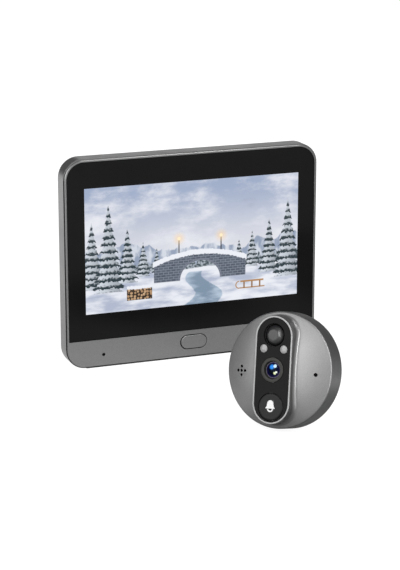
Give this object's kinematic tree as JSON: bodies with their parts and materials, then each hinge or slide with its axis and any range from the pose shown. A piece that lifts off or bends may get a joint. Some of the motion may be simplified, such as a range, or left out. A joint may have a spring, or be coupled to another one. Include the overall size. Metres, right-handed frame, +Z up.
{
  "type": "peephole door camera",
  "caption": "Flat door monitor with a screen and home button, and a round domed camera unit with motion sensor, night lights, lens and bell button.",
  "frame": {"origin": "middle of the flat bottom face of the monitor's back shell, on the surface that both units stand on", "axes": "+Z up; the screen faces -Y; +X is to the right as seen from the front"},
  "size_m": [0.131, 0.1509, 0.1032],
  "materials": {
    "satin_grey_casing": "satin metallic grey paint",
    "black_glass": "gloss",
    "gloss_black": "gloss",
    "black_tape": "matt",
    "display": "gloss",
    "backlight_tray": "satin",
    "circuit_board": "satin solder mask",
    "black_plastic": "matt",
    "cream_plastic": "satin",
    "metal_can": "satin",
    "black_rubber": "matt",
    "battery_wrap": "satin foil",
    "grey_foam": "open-cell foam",
    "speaker_frame": "satin",
    "copper_film": "film",
    "screw_steel": "zinc plated",
    "base_plastic": "fine texture",
    "sensor_window": "smoked",
    "clear_led": "clear",
    "ring_metal": "dark anodised",
    "lens_glass": "coated",
    "button_dark": "satin",
    "symbol_print": "satin print",
    "insert_brass": "turned"
  },
  "bodies": {
    "set": {"front_bezel": "satin_grey_casing", "screen_glass": "black_glass", "glass_tape": "black_tape", "lcd_panel": "display", "lcd_backlight": "backlight_tray", "home_switch": "black_plastic", "button_board": "circuit_board", "monitor_microphone": "metal_can", "mic_boot": "black_rubber", "main_board": "circuit_board", "main_chips": "black_plastic", "battery_pack": "battery_wrap", "battery_foam": "grey_foam", "monitor_speaker": "speaker_frame", "speaker_gasket": "black_rubber", "wifi_antenna": "copper_film", "ribbon_socket": "cream_plastic", "usb_socket": "metal_can", "back_shell": "satin_grey_casing", "shell_screws": "screw_steel", "board_screws": "screw_steel", "camera_cover": "satin_grey_casing", "camera_base": "base_plastic", "base_seal": "black_rubber", "fascia_plate": "gloss_black", "fascia_tape": "black_tape", "pir_lens": "sensor_window", "pir_sensor": "metal_can", "ir_leds": "clear_led", "lens_ring": "ring_metal", "lens_barrel": "ring_metal", "lens_front_element": "lens_glass", "lens_inner_element": "lens_glass", "image_sensor": "black_plastic", "sensor_holder": "black_plastic", "bell_switch": "black_plastic", "camera_board": "circuit_board", "camera_speaker": "speaker_frame", "camera_speaker_gasket": "black_rubber", "camera_microphone": "metal_can", "camera_mic_boot": "black_rubber", "ribbon_outlet": "black_rubber", "mounting_inserts": "insert_brass", "foam_ring": "grey_foam", "cover_screws": "screw_steel"},
    "home_key": {"home_button": "satin_grey_casing", "home_switch_plunger": "cream_plastic"},
    "bell_key": {"bell_button": "button_dark", "bell_symbol": "symbol_print", "bell_switch_plunger": "cream_plastic"}
  },
  "joints": [
    {"name": "home_press", "type": "slide", "parent": "set", "child": "home_key", "axis": [0, 1, 0], "range_m": [0, 0.0005], "stiffness_N_per_m": 1500},
    {"name": "bell_press", "type": "slide", "parent": "set", "child": "bell_key", "axis": [0.7645, 0.5866, -0.2672], "range_m": [0, 0.0006], "stiffness_N_per_m": 1500}
  ]
}
